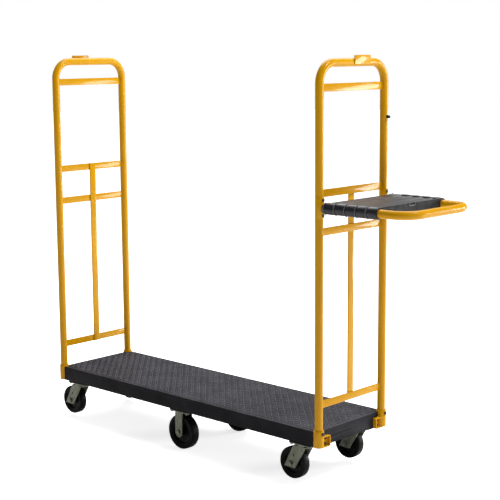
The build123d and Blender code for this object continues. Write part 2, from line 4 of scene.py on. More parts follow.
import bmesh
import bpy
import mathutils
import numpy as np
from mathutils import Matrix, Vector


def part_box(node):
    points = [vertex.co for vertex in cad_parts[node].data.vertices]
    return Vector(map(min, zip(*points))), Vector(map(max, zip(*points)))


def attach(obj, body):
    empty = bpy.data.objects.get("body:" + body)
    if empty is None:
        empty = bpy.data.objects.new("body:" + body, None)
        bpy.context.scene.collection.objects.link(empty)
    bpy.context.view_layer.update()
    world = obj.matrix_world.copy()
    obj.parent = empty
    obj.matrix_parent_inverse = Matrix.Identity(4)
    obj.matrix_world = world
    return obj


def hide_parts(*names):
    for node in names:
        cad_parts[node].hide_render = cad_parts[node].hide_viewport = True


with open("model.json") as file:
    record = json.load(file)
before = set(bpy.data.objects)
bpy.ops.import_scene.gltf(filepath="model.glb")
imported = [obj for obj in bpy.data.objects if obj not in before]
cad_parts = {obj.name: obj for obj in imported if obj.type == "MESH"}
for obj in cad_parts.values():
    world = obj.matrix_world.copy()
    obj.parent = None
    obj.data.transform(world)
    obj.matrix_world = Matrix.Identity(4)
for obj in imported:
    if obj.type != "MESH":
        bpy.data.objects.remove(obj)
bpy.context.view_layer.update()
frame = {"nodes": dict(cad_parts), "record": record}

TURN = 2 * math.pi
WHITE = (1.0, 1.0, 1.0, 1.0)
ENDS = ("plain", "shelf")
SIDES = ("front", "back")
CORNERS = tuple(f"{end}_{side}" for end in ENDS for side in SIDES)
TUBE_RADIUS = 0.015875          # bent steel tube of the frames and the shelf loop
WRAP_RADIUS = 0.021475          # outside of the tray where it folds over the shelf tube
RIB_PITCH = 0.0485              # from one wrap rib of the tray to the next
RIB_COUNT = 5
BORE_RADIUS = 0.00856           # hole through a wheel's core


def middle(node):
    """The centre of a CAD node's box, and its size."""
    low, high = (np.array(corner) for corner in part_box(node))
    return (low + high) / 2, high - low


# ---- materials ------------------------------------------------------------------------------
def new_material(name, colour, roughness, metallic=0.0, gloss=0.5):
    """A material with a Principled shader; returns the material and its node tools."""
    material = bpy.data.materials.new(name)
    material.use_nodes = True
    shader = material.node_tree.nodes["Principled BSDF"]
    shader.inputs["Base Color"].default_value = (*colour, 1.0)
    shader.inputs["Roughness"].default_value = roughness
    shader.inputs["Metallic"].default_value = metallic
    shader.inputs["Specular IOR Level"].default_value = gloss
    return material, material.node_tree, shader


def noise(tree, scale, detail=4.0, rough=0.55, stretch=(1, 1, 1)):
    """A noise field on Object coordinates, stretched along the axes."""
    place = tree.nodes.new("ShaderNodeTexCoord")
    mapping = tree.nodes.new("ShaderNodeMapping")
    mapping.inputs["Scale"].default_value = stretch
    field = tree.nodes.new("ShaderNodeTexNoise")
    field.inputs["Scale"].default_value = scale
    field.inputs["Detail"].default_value = detail
    field.inputs["Roughness"].default_value = rough
    tree.links.new(place.outputs["Object"], mapping.inputs["Vector"])
    tree.links.new(mapping.outputs["Vector"], field.inputs["Vector"])
    return field.outputs["Fac"]


def remap(tree, value, low, high, to_low, to_high):
    """A smooth map of one range of a field to another, clamped."""
    node = tree.nodes.new("ShaderNodeMapRange")
    node.interpolation_type = "SMOOTHSTEP"
    for socket, number in zip(("From Min", "From Max", "To Min", "To Max"),
                              (low, high, to_low, to_high)):
        node.inputs[socket].default_value = number
    tree.links.new(value, node.inputs["Value"])
    return node.outputs["Result"]


def blend_colours(tree, share, first, second):
    """A mix of two colours, either of which may be a socket."""
    node = tree.nodes.new("ShaderNodeMix")
    node.data_type = "RGBA"
    tree.links.new(share, node.inputs["Factor"])
    for socket, colour in zip((node.inputs[6], node.inputs[7]), (first, second)):
        if isinstance(colour, tuple):
            socket.default_value = (*colour, 1.0)
        else:
            tree.links.new(colour, socket)
    return node.outputs[2]


def bump(tree, shader, height, strength, distance):
    """Fine relief from a height field, in metres."""
    node = tree.nodes.new("ShaderNodeBump")
    node.inputs["Strength"].default_value = strength
    node.inputs["Distance"].default_value = distance
    tree.links.new(height, node.inputs["Height"])
    tree.links.new(node.outputs["Normal"], shader.inputs["Normal"])


def powder_coat():
    """Golden-yellow powder coat: slight orange peel, faint cloudy shade and rub marks."""
    material, tree, shader = new_material("golden_powder_coat", (0.54, 0.262, 0.001), 0.38, gloss=0.03)
    cloud = remap(tree, noise(tree, 4.0, 2.0), 0.3, 0.7, 0.0, 1.0)
    base = blend_colours(tree, cloud, (0.525, 0.251, 0.0006), (0.560, 0.275, 0.0010))
    rub = remap(tree, noise(tree, 70.0, 5.0, 0.62), 0.62, 0.80, 0.0, 0.07)
    tree.links.new(blend_colours(tree, rub, base, (0.42, 0.178, 0.002)), shader.inputs["Base Color"])
    tree.links.new(remap(tree, noise(tree, 26.0, 3.0), 0.3, 0.75, 0.32, 0.40), shader.inputs["Roughness"])
    bump(tree, shader, noise(tree, 900.0, 2.0), 0.03, 0.0004)
    shader.inputs["Coat Weight"].default_value = 0.26
    shader.inputs["Coat Roughness"].default_value = 0.10
    return material


def moulded_plastic(name, dark, light, low_rough, high_rough, gloss=0.2, grain=1400.0, depth=0.25):
    """Black-grey moulded plastic: pebble grain, dusty scuffs and a faint flow shade."""
    material, tree, shader = new_material(name, dark, low_rough, gloss=gloss)
    flow = remap(tree, noise(tree, 9.0, 4.0, 0.55), 0.3, 0.72, 0.0, 1.0)
    base = blend_colours(tree, flow, dark, light)
    scuff = remap(tree, noise(tree, 55.0, 7.0, 0.70, (0.45, 1, 1)), 0.62, 0.82, 0.0, 0.22)
    dusty = tuple(min(1.0, 2.1 * c + 0.012) for c in light)
    tree.links.new(blend_colours(tree, scuff, base, dusty), shader.inputs["Base Color"])
    tree.links.new(remap(tree, noise(tree, 30.0, 6.0), 0.3, 0.7, low_rough, high_rough),
                   shader.inputs["Roughness"])
    bump(tree, shader, noise(tree, grain, 3.0), depth, 0.0005)
    return material


def scale_beyond(material, axis, start, end, colour_times, rough_times):
    """Multiplies a material's colour and roughness where an Object coordinate has passed a limit:
    each factor goes smoothly from 1 at start to its full value at end."""
    tree = material.node_tree
    shader = tree.nodes["Principled BSDF"]
    place = tree.nodes.new("ShaderNodeTexCoord")
    split = tree.nodes.new("ShaderNodeSeparateXYZ")
    tree.links.new(place.outputs["Object"], split.inputs[0])
    for socket, times in (("Base Color", colour_times), ("Roughness", rough_times)):
        scaled = tree.nodes.new("ShaderNodeVectorMath")
        scaled.operation = "SCALE"
        tree.links.new(shader.inputs[socket].links[0].from_socket, scaled.inputs[0])
        tree.links.new(remap(tree, split.outputs[axis], start, end, 1.0, times), scaled.inputs["Scale"])
        tree.links.new(scaled.outputs["Vector"], shader.inputs[socket])


def tray_moulding():
    """The tray's plastic, rougher on the apron, the last half millimetre along x, and painted darker there
    as painted shade.
    """
    material = moulded_plastic("tray_plastic", (0.0112, 0.0114, 0.0155), (0.017, 0.0175, 0.023),
                               0.32, 0.44, gloss=0.36)
    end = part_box("shelf_tray")[1][0]
    # painted shade on the apron: its colour scaled to 0.34; the rougher finish there is real
    scale_beyond(material, "X", end - 0.0007, end - 0.0002, 0.34, 1.9)
    return material


def deck_moulding():
    """The deck's plastic, with painted light: the top painted 3.7 times paler and the two end faces 1.5
    times paler, as the light falls on them.
    """
    material = moulded_plastic("deck_plastic", (0.0075, 0.0074, 0.0085), (0.0125, 0.0123, 0.0148),
                               0.42, 0.56, gloss=0.06)
    low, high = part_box("deck")
    # painted light: the top and the two end faces painted paler, as lit faces; the slightly lower roughness
    # on top is real
    scale_beyond(material, "Z", high[2] - 0.0006, high[2] - 0.0002, 3.7, 0.95)
    scale_beyond(material, "X", high[0] - 0.0006, high[0] - 0.0002, 1.5, 1.0)
    scale_beyond(material, "X", low[0] + 0.0006, low[0] + 0.0002, 1.5, 1.0)
    return material


def dull_zinc(name, dark, light, metallic=0.75):
    """Dull zinc plate on pressed steel: mottled passivation, faint rolling lines."""
    material, tree, shader = new_material(name, dark, 0.45, metallic)
    mottle = remap(tree, noise(tree, 85.0, 6.0, 0.65), 0.32, 0.68, 0.0, 1.0)
    base = blend_colours(tree, mottle, dark, light)
    stain = remap(tree, noise(tree, 24.0, 4.0), 0.58, 0.78, 0.0, 0.5)
    tree.links.new(blend_colours(tree, stain, base, tuple(0.55 * c for c in dark)),
                   shader.inputs["Base Color"])
    tree.links.new(remap(tree, noise(tree, 140.0, 5.0), 0.3, 0.7, 0.36, 0.58), shader.inputs["Roughness"])
    bump(tree, shader, noise(tree, 500.0, 3.0, 0.6, (1, 1, 0.15)), 0.12, 0.0004)
    return material


def black_rubber(name, dark, light, low_rough, high_rough):
    """Black rubber: matt, a little dust and fine pores."""
    material, tree, shader = new_material(name, dark, high_rough, gloss=0.08)
    dust = remap(tree, noise(tree, 40.0, 7.0, 0.7), 0.45, 0.8, 0.0, 1.0)
    tree.links.new(blend_colours(tree, dust, dark, light), shader.inputs["Base Color"])
    tree.links.new(remap(tree, noise(tree, 90.0, 4.0), 0.3, 0.7, low_rough, high_rough),
                   shader.inputs["Roughness"])
    bump(tree, shader, noise(tree, 1100.0, 3.0), 0.22, 0.0004)
    return material


FINISH = {
    "yellow_paint": powder_coat(),
    "deck_plastic": deck_moulding(),
    "tray_plastic": tray_moulding(),
    "zinc_steel": dull_zinc("dull_zinc", (0.105, 0.112, 0.080), (0.160, 0.168, 0.126), 0.55),
    "axle_steel": dull_zinc("bolt_zinc", (0.125, 0.127, 0.10), (0.19, 0.19, 0.16), 0.75),
    "black_screw": dull_zinc("black_oxide", (0.018, 0.018, 0.018), (0.035, 0.034, 0.032), 0.6),
    "tyre_rubber": black_rubber("tyre_rubber", (0.002, 0.002, 0.0021), (0.0065, 0.0064, 0.0062),
                                0.36, 0.52),
    "hub_plastic": black_rubber("wheel_core", (0.0025, 0.0025, 0.0028), (0.007, 0.007, 0.007),
                                0.26, 0.40),
    "bumper_rubber": black_rubber("bumper_rubber", (0.012, 0.012, 0.012), (0.028, 0.028, 0.028),
                                  0.5, 0.7),
}
# paler plastic for the deck's tread ribs; on the deck's border line it is a painted highlight
FINISH["pale_tread_and_highlight"] = moulded_plastic("deck_tread", (0.040, 0.039, 0.049), (0.067, 0.065, 0.080),
                                       0.30, 0.42, gloss=0.4)
# a pale plastic that paints highlights: on the tray's rib lines and on the finger pull's lip
FINISH["painted_highlight"] = moulded_plastic("tray_painted_highlight", (0.10, 0.10, 0.115), (0.17, 0.17, 0.19),
                                      0.34, 0.46, gloss=0.4)
slot_of = {part["node"]: part["material_slot"] for part in frame["record"]["subparts"]}
body_of = {node: body for body, names in frame["record"]["behaviour"]["bodies"].items() for node in names}


# ---- mesh tools -----------------------------------------------------------------------------
def piece(name, points, faces, body, slot, finish=None):
    """A mesh piece at the origin that rides on a body and takes its finish from a slot."""
    mesh = bpy.data.meshes.new(name)
    mesh.from_pydata(np.asarray(points, dtype=float).reshape(-1, 3).tolist(), [], faces)
    mesh.validate()
    mesh.polygons.foreach_set("use_smooth", np.ones(len(mesh.polygons), dtype=bool))
    mesh.materials.append(FINISH[finish or slot])
    obj = bpy.data.objects.new(name, mesh)
    bpy.context.collection.objects.link(obj)
    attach(obj, body)
    return obj


def grid_faces(rows, columns, close_rows=False, close_columns=False, flip=False):
    """Quads over a rows by columns grid of points, wrapped round either way if closed."""
    i = np.arange(rows if close_rows else rows - 1)
    j = np.arange(columns if close_columns else columns - 1)
    i, j = (a.ravel() for a in np.meshgrid(i, j, indexing="ij"))
    i1 = (i + 1) % rows
    j1 = (j + 1) % columns
    quads = np.stack([i * columns + j, i * columns + j1, i1 * columns + j1, i1 * columns + j], axis=1)
    return (quads[:, ::-1] if flip else quads).tolist()


def outward(obj):
    """Merges doubled points and turns every face of a closed shape outwards."""
    work = bmesh.new()
    work.from_mesh(obj.data)
    bmesh.ops.remove_doubles(work, verts=work.verts, dist=1e-6)
    bmesh.ops.recalc_face_normals(work, faces=work.faces)
    work.to_mesh(obj.data)
    work.free()
    return obj


def softened(node, width, segments=2, angle=35.0):
    """A CAD node's own shape with its doubled points merged, flat faces joined and edges rounded."""
    source = frame["nodes"][node]
    work = bmesh.new()
    work.from_mesh(source.data)
    bmesh.ops.transform(work, matrix=source.matrix_world, verts=work.verts)
    bmesh.ops.remove_doubles(work, verts=work.verts, dist=2e-6)
    bmesh.ops.dissolve_limit(work, angle_limit=math.radians(0.8), verts=work.verts, edges=work.edges)
    mesh = bpy.data.meshes.new(f"{node}_shape")
    work.to_mesh(mesh)
    work.free()
    mesh.polygons.foreach_set("use_smooth", np.ones(len(mesh.polygons), dtype=bool))
    mesh.materials.append(FINISH[slot_of[node]])
    obj = bpy.data.objects.new(f"{node}_shape", mesh)
    bpy.context.collection.objects.link(obj)
    rounding = obj.modifiers.new("edges", "BEVEL")
    rounding.width = width
    rounding.segments = segments
    rounding.limit_method = "ANGLE"
    rounding.angle_limit = math.radians(angle)
    rounding.harden_normals = True
    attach(obj, body_of[node])
    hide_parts(node)
    return obj


def finish_cad_nodes():
    """Every CAD node that still shows takes the material of its slot."""
    for node, obj in frame["nodes"].items():
        obj.data.materials.clear()
        obj.data.materials.append(FINISH[slot_of[node]])


finish_cad_nodes()


def lathe(name, profile, centre, body, slot, steps=96):
    """A closed profile of (radius, distance) turned a full circle about the y line through centre:
    point = centre + (radius * cos a, distance, radius * sin a)."""
    radius, along = np.array(profile, dtype=float).T
    angle = np.arange(steps) * TURN / steps
    x = radius[None, :] * np.cos(angle)[:, None]
    z = radius[None, :] * np.sin(angle)[:, None]
    points = np.stack([x, np.broadcast_to(along, x.shape), z], axis=-1) + np.array(centre)
    obj = piece(name, points, grid_faces(steps, len(radius), True, True), body, slot)
    obj.data.set_sharp_from_angle(angle=math.radians(38))
    return outward(obj)


def mirrored(side):
    """A profile of one side, joined to its mirror image across distance 0."""
    return side + [(r, -d) for r, d in reversed(side)]


def arc(centre, radius, start, end, steps=7):
    """Points (radius, distance) on an arc, angles in degrees."""
    angle = np.radians(np.linspace(start, end, steps))
    return [(centre[0] + radius * math.cos(a), centre[1] + radius * math.sin(a)) for a in angle]


def beads(name, paths, across, thick, body, slot="yellow_paint", section=8, closed=True, ripple=0.13,
          finish=None):
    """Weld beads: a small round section carried along each path (n, 3). The section is spanned by the
    across vector and the tangent's cross product with it, and its radius is
    thick * (1 + ripple * sin(2.1 k)) at the path's point k, as a weld ripples. An open bead's radius
    also falls as the square root of the distance to its end, over twice its thickness."""
    points, faces, start = [], [], 0
    phase = np.arange(section) * TURN / section
    for path in paths:
        path = np.asarray(path, dtype=float)
        count = len(path)
        ahead = np.roll(path, -1, axis=0) - np.roll(path, 1, axis=0)
        swell = 1 + ripple * np.sin(np.arange(count) * 2.1)
        if not closed:
            ahead[0] = path[1] - path[0]
            ahead[-1] = path[-1] - path[-2]
            step = np.linalg.norm(np.diff(path, axis=0), axis=1)
            along = np.concatenate([[0], np.cumsum(step)])
            swell = swell * np.sqrt(np.clip(np.minimum(along, along[-1] - along) / (2 * thick), 0.004, 1))
        ahead /= np.linalg.norm(ahead, axis=1, keepdims=True)
        side = np.broadcast_to(np.array(across, dtype=float), path.shape)
        other = np.cross(ahead, side)
        other /= np.linalg.norm(other, axis=1, keepdims=True)
        ring = side[:, None] * np.cos(phase)[None, :, None] + other[:, None] * np.sin(phase)[None, :, None]
        points.append((path[:, None] + thick * swell[:, None, None] * ring).reshape(-1, 3))
        faces += (np.array(grid_faces(count, section, closed, True)) + start).tolist()
        if not closed:
            faces.append(list(range(start, start + section)))
            faces.append(list(range(start + (count - 1) * section, start + count * section)))
        start += count * section
    return outward(piece(name, np.concatenate(points), faces, body, slot, finish))


def round_box_loop(half_a, half_b, corner, steps=5):
    """Points round a rectangle with rounded corners, as (a, b) pairs."""
    loop = []
    for sign_a, sign_b, first in ((1, 1, 0), (-1, 1, 90), (-1, -1, 180), (1, -1, 270)):
        angle = np.radians(np.linspace(first, first + 90, steps))
        loop += [(sign_a * (half_a - corner) + corner * math.cos(a),
                  sign_b * (half_b - corner) + corner * math.sin(a)) for a in angle]
    loop = np.array(loop + loop[:1])
    step = np.concatenate([[0], np.cumsum(np.linalg.norm(np.diff(loop, axis=0), axis=1))])
    even = np.linspace(0, step[-1], max(24, int(step[-1] / 0.0011)))[:-1]
    return np.stack([np.interp(even, step, loop[:, 0]), np.interp(even, step, loop[:, 1])], axis=1)


# ---- deck -----------------------------------------------------------------------------------
def deck_tread():
    """Raised tread on the deck: short ribs on a square lattice, turned +45 and -45 degrees by turns.
    Each rib is a low mound on a six-sided long outline: three rings, at 1, 0.82 and 0.45 of the
    outline's half width and at heights -sunk, 0.72 * rise and rise, closed by a lid at either end."""
    low, high = (np.array(corner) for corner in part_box("deck"))
    pitch, border, socket_clearance = 0.0186, 0.0125, 0.034
    half_long, half_wide, rise, sunk = 0.0102, 0.0030, 0.0018, 0.0004
    count_x = int((high[0] - low[0] - 2 * border) / pitch)
    count_y = int((high[1] - low[1] - 2 * border) / pitch)
    i, j = np.meshgrid(np.arange(count_x), np.arange(count_y), indexing="ij")
    x = (low[0] + high[0]) / 2 + (i - (count_x - 1) / 2) * pitch
    y = (low[1] + high[1]) / 2 + (j - (count_y - 1) / 2) * pitch
    lean = np.where((i + j) % 2 == 0, 1.0, -1.0)
    x, y, lean = x.ravel(), y.ravel(), lean.ravel()
    edge_x = (high[0] - low[0]) / 2
    post_y = abs(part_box("shelf_frame_tube")[0][1]) - TUBE_RADIUS
    from_post = np.hypot(np.abs(x - (low[0] + high[0]) / 2) - edge_x, np.abs(y) - post_y)
    clear = from_post > socket_clearance
    x, y, lean = x[clear], y[clear], lean[clear]
    around = np.array([-60, 0, 60, 120, 180, 240]) * math.pi / 180
    corners = len(around)
    along = np.where(np.cos(around) > 0, half_long - half_wide, half_wide - half_long)
    outline = np.stack([along + half_wide * np.cos(around), half_wide * np.sin(around)], axis=1)
    shares = np.array([1.0, 0.82, 0.45])
    heights = np.array([-sunk, rise * 0.72, rise])
    rings = len(shares)
    shape = np.concatenate([np.column_stack([outline[:, 0] - np.sign(outline[:, 0]) * half_wide * (1 - k),
                                             outline[:, 1] * k, np.full(corners, h)])
                            for k, h in zip(shares, heights)])
    turn = lean * math.pi / 4
    px = x[:, None] + shape[None, :, 0] * np.cos(turn)[:, None] - shape[None, :, 1] * np.sin(turn)[:, None]
    py = y[:, None] + shape[None, :, 0] * np.sin(turn)[:, None] + shape[None, :, 1] * np.cos(turn)[:, None]
    pz = np.broadcast_to(high[2] + shape[:, 2], px.shape)
    starts = rings * corners * np.arange(len(x))[:, None, None]
    walls = np.array(grid_faces(rings, corners, close_columns=True))[None] + starts
    ring = np.arange(corners)
    lids = np.stack([(rings - 1) * corners + ring, ring[::-1]])[None] + starts
    faces = walls.reshape(-1, 4).tolist() + lids.reshape(-1, corners).tolist()
    obj = outward(piece("deck_tread", np.stack([px, py, pz], axis=-1), faces, "deck", "deck_plastic",
                        "pale_tread_and_highlight"))
    obj.data.set_sharp_from_angle(angle=math.radians(60))


def deck_border():
    """A smooth raised line just inside the deck's top edge, in the pale tread plastic as a painted
    highlight along the edge: a round section, a little more than half sunk, carried along the four sides
    and stopped short of the sockets."""
    low, high = (np.array(corner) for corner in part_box("deck"))
    inset, stop, top = 0.0052, 0.036, high[2] - 0.0010
    count, thick = 160, 0.0022
    lines = []
    for y in (low[1] + inset, high[1] - inset):
        x = np.linspace(low[0] + stop, high[0] - stop, count)
        lines.append(np.stack([x, np.full(count, y), np.full(count, top)], axis=1))
    for x in (low[0] + inset, high[0] - inset):
        y = np.linspace(low[1] + 1.35 * stop, high[1] - 1.35 * stop, count)
        lines.append(np.stack([np.full(count, x), y, np.full(count, top)], axis=1))
    # painted highlight: the border line takes the pale tread plastic
    beads("deck_border", lines, (0, 0, 1), thick, "deck", "deck_plastic", closed=False, ripple=0,
          finish="pale_tread_and_highlight")


deck_tread()
deck_border()
softened("deck", 0.0012)


# ---- wheels ---------------------------------------------------------------------------------
def wheel(name, body, shoulder):
    """One wheel from two turned profiles: a rubber tyre with a crowned tread, a stepped side ring and
    round shoulders, and a core with a boss, a dished web, a raised ring and a rim flange."""
    centre, size = middle(f"{name}_tyre")
    _, core = middle(f"{name}_hub")
    radius, half = size[2] / 2, size[1] / 2
    rim, boss = core[2] / 2, core[1] / 2
    side = [(rim + 0.0001, half * 0.90), (rim + 0.0008, half * 0.955), (rim + 0.0022, half * 0.965),
            (rim + 0.0030, half * 0.90), (rim + 0.0042, half * 0.90), (rim + 0.0052, half * 0.985),
            (rim + 0.0066, half)]
    side.append((radius - shoulder - 0.0012, half))
    side += arc((radius - shoulder - 0.0006, half - shoulder), shoulder, 84, 12, 7)
    side += [(radius - 0.0003, half * 0.40), (radius, half * 0.12)]
    lathe(f"{name}_tyre_shape", mirrored(side), centre, body, "tyre_rubber")
    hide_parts(f"{name}_tyre")
    bore = BORE_RADIUS
    web = half * 0.40
    ring = (bore + rim) / 2
    core_side = [(bore, boss), (bore + 0.0052, boss), (bore + 0.0068, boss - 0.0012),
                 (bore + 0.0090, web + 0.0005), (bore + 0.0105, web), (ring - 0.0026, web),
                 (ring - 0.0014, web + 0.0016), (ring + 0.0014, web + 0.0016), (ring + 0.0026, web),
                 (rim - 0.0095, web), (rim - 0.0080, web + 0.0006), (rim - 0.0052, half * 0.80),
                 (rim - 0.0042, half * 0.84), (rim - 0.0002, half * 0.84)]
    lathe(f"{name}_core_shape", mirrored(core_side), centre, body, "hub_plastic")
    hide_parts(f"{name}_hub")


for name in CORNERS:
    wheel(name, f"{name}_wheel", 0.0056)
    softened(f"{name}_fork", 0.0007)
    softened(f"{name}_axle", 0.0005)
    softened(f"{name}_swivel_plate", 0.0006)
for side in SIDES:
    wheel(f"middle_{side}", f"middle_{side}_wheel", 0.0064)
    softened(f"middle_{side}_fork", 0.0007)
    softened(f"middle_{side}_axle", 0.0005)
softened("caster_plate_bolts", 0.0005)


# ---- end frames and sockets -----------------------------------------------------------------
def frame_welds(end):
    """Weld beads where each cross bar meets the posts, where the strut crosses the lowest three bars and
    beside the tab, sunk in the top tube. A bar's bead follows the rounded rectangle of the bar's end
    laid on the post: y = +- (post centre - sqrt(radius^2 - x^2))."""
    tube, _ = middle(f"{end}_frame_tube")
    bars = frame["nodes"][f"{end}_frame_crossbars"]
    radius = TUBE_RADIUS
    post_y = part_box(f"{end}_frame_tube")[1][1] - radius
    verts = np.empty(len(bars.data.vertices) * 3)
    bars.data.vertices.foreach_get("co", verts)
    verts = verts.reshape(-1, 3)
    levels = np.unique(np.round(verts[:, 2], 4))
    bar_heights = list(zip(levels[::2], levels[1::2]))
    half_x = (verts[:, 0].max() - verts[:, 0].min()) / 2
    toe = 0.0004
    loops = []
    for low, high in bar_heights:
        loop = round_box_loop(half_x + toe, (high - low) / 2 + toe, 0.0012)
        for side in (-1, 1):
            y = side * (post_y - np.sqrt(radius ** 2 - loop[:, 0] ** 2) - 0.0002)
            loops.append(np.stack([tube[0] + loop[:, 0], y, (low + high) / 2 + loop[:, 1]], axis=1))
    beads(f"{end}_frame_bar_welds", loops, (0, 1, 0), 0.0017, f"{end}_frame")
    strut, strut_size = middle(f"{end}_frame_strut")
    inner = 1 if strut[0] > tube[0] else -1
    x = tube[0] + inner * half_x
    lines = []
    for low, high in bar_heights[:3]:
        z = np.linspace(low + 0.002, high - 0.002, 22)
        for side in (-1, 1):
            y = np.full_like(z, strut[1] + side * strut_size[1] / 2)
            lines.append(np.stack([np.full_like(z, x), y, z], axis=1))
    beads(f"{end}_frame_strut_welds", lines, (0, 1, 0), 0.0015, f"{end}_frame", closed=False)
    tab, tab_size = middle(f"{end}_frame_tab")
    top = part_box(f"{end}_frame_tube")[1][2] - radius
    rise = math.radians(42)
    out = 1 if tab[0] > tube[0] else -1
    y = np.linspace(tab[1] - tab_size[1] / 2 + 0.004, tab[1] + tab_size[1] / 2 - 0.004, 60)
    line = np.stack([np.full_like(y, tube[0] + out * radius * math.cos(rise) * 1.02), y,
                     np.full_like(y, top + radius * math.sin(rise) * 0.62)], axis=1)
    beads(f"{end}_frame_tab_welds", [line], (0, 0, 1), 0.0014, f"{end}_frame", closed=False)


for end in ENDS:
    frame_welds(end)
    for part in ("crossbars", "strut", "tab"):
        softened(f"{end}_frame_{part}", 0.0008)
    for side in SIDES:
        softened(f"{end}_end_{side}_socket", 0.0007)
softened("socket_lock_screws", 0.0007)
softened("socket_bolts", 0.0006)


# ---- shelf ----------------------------------------------------------------------------------
def shelf_tube_line():
    """Height of the shelf tube's axis, and how far its two arms lie from the middle."""
    low, high = (np.array(corner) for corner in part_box("shelf_tube"))
    return (low[2] + high[2]) / 2, high[1] - TUBE_RADIUS


def tray_pillows():
    """The soft-looking swells between the tray's wrap ribs. Each is a patch that starts on the flat of
    the tray as a rounded tongue, tongue = 0.0015 + 0.011 * sqrt(1 - (2 t - 1)^2), and goes on over the
    wrap's outer half: lift = 0.0036 * (4 t (1 - t))^0.45 * sin(pi v), for t along the tray between two
    ribs and v along the patch. The one by the hinge has no tongue and starts past the wrap's shoulder,
    clear of the hinge's slot, its lift growing from 0 over the next half radian. An inner skin lies sunk
    in the tray behind each."""
    low, high = (np.array(corner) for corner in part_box("shelf_tray"))
    axis_z, axis_y = shelf_tube_line()
    first, rib = 0.008, 0.003
    starts = low[0] + first + rib + RIB_PITCH * np.arange(RIB_COUNT)
    ends = np.append(low[0] + first + RIB_PITCH * np.arange(1, RIB_COUNT), high[0] - rib)
    rows, columns = 17, 31
    t = np.linspace(0.0, 1.0, rows)[:, None]
    v = np.linspace(0.0, 1.0, columns)[None, :]
    tongue = 0.0015 + 0.011 * np.sqrt(np.clip(1 - (2 * t - 1) ** 2, 0, 1))
    crown = 0.0036 * np.clip(4 * t * (1 - t), 0, 1) ** 0.45
    hinge_turn, onset = 1.0, 0.5
    proud, sunk = 0.0001, 0.0012
    points, faces = [], []
    for side in (-1, 1):
        for k, (x0, x1) in enumerate(zip(starts, ends)):
            reach = tongue if k else -hinge_turn * WRAP_RADIUS * np.ones_like(tongue)
            walk = v * (reach + math.pi * WRAP_RADIUS)
            back = np.clip(reach - walk, 0, None) if k else 0
            turn = (np.clip(walk - reach, 0, None) if k else walk - reach) / WRAP_RADIUS
            lift = crown * np.clip(np.sin(math.pi * v), 0, 1)
            if k == 0:
                lift = lift * np.clip((turn - hinge_turn) / onset, 0, 1)
            x = np.broadcast_to(x0 + (x1 - x0) * t, lift.shape)
            skins = []
            for radius, order in ((WRAP_RADIUS + proud + lift, slice(None)),
                                  (np.full_like(lift, WRAP_RADIUS - sunk), slice(None, None, -1))):
                y = side * (axis_y - back + radius * np.sin(turn))
                z = axis_z + radius * np.cos(turn)
                skins.append(np.stack([x, y, z], axis=-1)[:, order])
            block = np.concatenate(skins, axis=1)
            start = sum(len(p) for p in points)
            loop = block.shape[1]
            points.append(block.reshape(-1, 3))
            faces += (np.array(grid_faces(rows, loop, close_columns=True)) + start).tolist()
            faces.append(list(range(start, start + loop)))
            faces.append(list(range(start + (rows - 1) * loop, start + rows * loop)))
    obj = outward(piece("shelf_tray_swells", np.concatenate(points), faces, "shelf", "tray_plastic"))
    obj.data.set_sharp_from_angle(angle=math.radians(50))


def tray_rib_lines():
    """Thin raised lines over each wrap rib, in a pale plastic that paints their highlight: a small round
    section carried round the wrap's outer half, y = side * (tube y + r sin a), z = tube z + r cos a, with r
    = wrap radius + 0.0030 * sqrt(sin a)."""
    low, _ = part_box("shelf_tray")
    axis_z, axis_y = shelf_tube_line()
    a = np.linspace(0.25, math.pi - 0.15, 40)
    radius = WRAP_RADIUS + 0.0030 * np.sqrt(np.sin(a))
    lines = []
    for side in (-1, 1):
        for k in range(RIB_COUNT):
            x = np.full_like(a, low[0] + 0.0095 + RIB_PITCH * k)
            y = side * (axis_y + radius * np.sin(a))
            lines.append(np.stack([x, y, axis_z + radius * np.cos(a)], axis=1))
    # the pale finish paints the ribs' highlight
    beads("shelf_tray_rib_lines", lines, (1, 0, 0), 0.0014, "shelf", "tray_plastic", closed=False, ripple=0,
          finish="painted_highlight")


def over_the_edge(across, along, proud):
    """Points on the tray's front edge, standing proud of it: with q = across, q < 0 lies on the top at
    x = end + q and q > 0 on the apron at z = top - q."""
    _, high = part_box("shelf_tray")
    top = shelf_tube_line()[0] + WRAP_RADIUS
    bend = 0.003
    lean = np.clip(0.5 + across / bend, 0, 1) * math.pi / 2
    return np.stack([high[0] + np.clip(across, None, 0) + proud * np.sin(lean), along,
                     top - np.clip(across, 0, None) + proud * np.cos(lean)], axis=-1)


def tray_pull():
    """The finger pull on the tray's front edge: a nearly flat dish in very dark plastic, painted shade
    standing in for the pull's hollow, on a stadium outline shrunk to its middle, and a lip, a round section
    on the same stadium in a pale plastic that paints its highlight, both laid over the edge."""
    loop = round_box_loop(0.0078, 0.0185, 0.0074, 9)
    sink = 0.0016
    shares = np.array([1.0, 0.8, 0.55, 0.3, 0.06])[:, None]
    heights = np.array([0.0010, 0.0005, 0.0004, 0.0004, 0.0004])[:, None]
    q, y = shares * loop[None, :, 0] + sink, shares * loop[None, :, 1]
    skin = over_the_edge(q, y, np.broadcast_to(heights, q.shape))
    under = over_the_edge(q, y, np.full_like(q, -0.0006))
    points = np.concatenate([skin[::-1], under])
    rows, count = points.shape[:2]
    faces = grid_faces(rows, count, close_columns=True)
    faces += [list(range(count)), list(range((rows - 1) * count, rows * count))]
    # painted shade: the dark dish stands in for the shadow in the pull's hollow
    outward(piece("shelf_tray_pull", points, faces, "shelf", "tray_plastic", "hub_plastic"))
    # painted highlight: the lip's pale finish
    beads("shelf_tray_pull_lip", [over_the_edge(loop[:, 0] + sink, loop[:, 1], 0.0006)], (1, 0, 1), 0.0013,
          "shelf", "tray_plastic", ripple=0, finish="painted_highlight")


